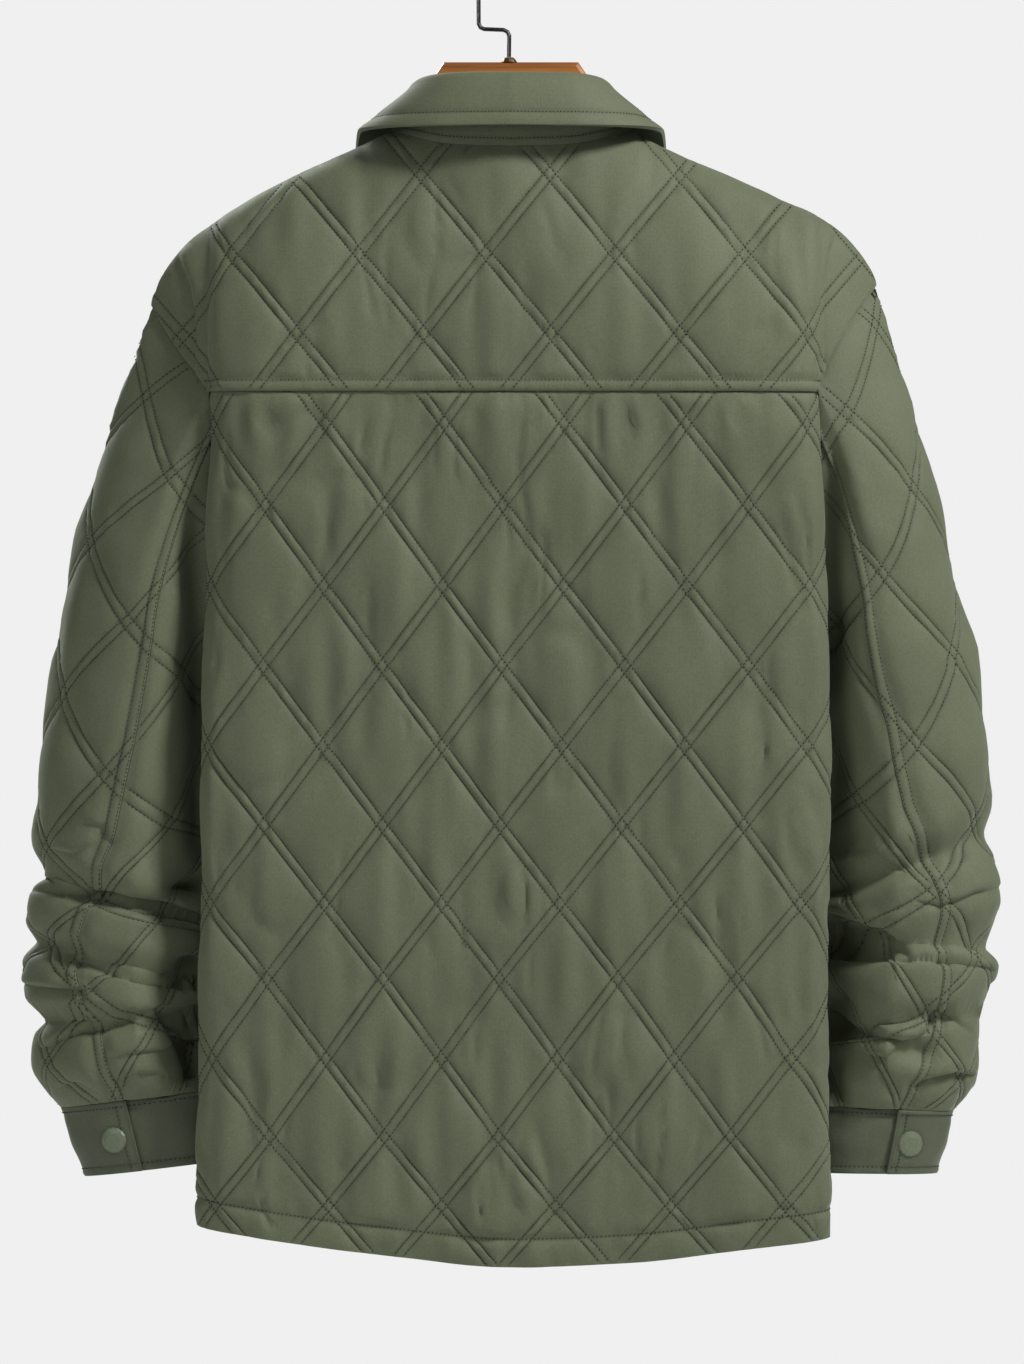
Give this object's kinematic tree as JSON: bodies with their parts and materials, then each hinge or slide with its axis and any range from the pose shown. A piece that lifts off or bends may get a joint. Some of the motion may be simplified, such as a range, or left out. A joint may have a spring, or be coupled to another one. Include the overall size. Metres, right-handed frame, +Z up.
{
  "type": "quilted shirt jacket on a wooden hanger",
  "caption": "Diamond-quilted snap-front shirt jacket with a turned-down collar, back yoke and band cuffs, hanging on a wooden hanger.",
  "frame": {"origin": "inside top of the hanger's hook, where a rail holds it", "axes": "+Z up, +Y towards the garment's front, +X towards the wearer's right sleeve as seen from behind"},
  "size_m": [0.6417, 0.135, 0.8702],
  "materials": {
    "quilted_cloth": "padded olive cloth with double-stitched diamonds, slight sheen",
    "plain_cloth": "plain olive cloth with topstitching, slight sheen",
    "snap_caps": "satin olive snap caps",
    "hanger_wood": "stained and varnished brown wood",
    "hanger_metal": "bright metal wire"
  },
  "bodies": {
    "root": {"yoke_back": "quilted_cloth", "back": "quilted_cloth", "front_left": "quilted_cloth", "front_right": "quilted_cloth", "placket_left": "plain_cloth", "placket_right": "plain_cloth", "collar_stand": "plain_cloth", "collar_fall": "plain_cloth", "sleeve_left_upper": "quilted_cloth", "sleeve_left_under": "quilted_cloth", "sleeve_right_upper": "quilted_cloth", "sleeve_right_under": "quilted_cloth", "cuff_left": "plain_cloth", "cuff_right": "plain_cloth", "snap_cuff_left": "snap_caps", "snap_cuff_right": "snap_caps", "snap_front_1": "snap_caps", "snap_front_2": "snap_caps", "snap_front_3": "snap_caps", "snap_front_4": "snap_caps", "snap_front_5": "snap_caps", "snap_front_6": "snap_caps", "hanger_wood": "hanger_wood", "hanger_hook": "hanger_metal", "hanger_ferrule": "hanger_metal"}
  },
  "joints": []
}
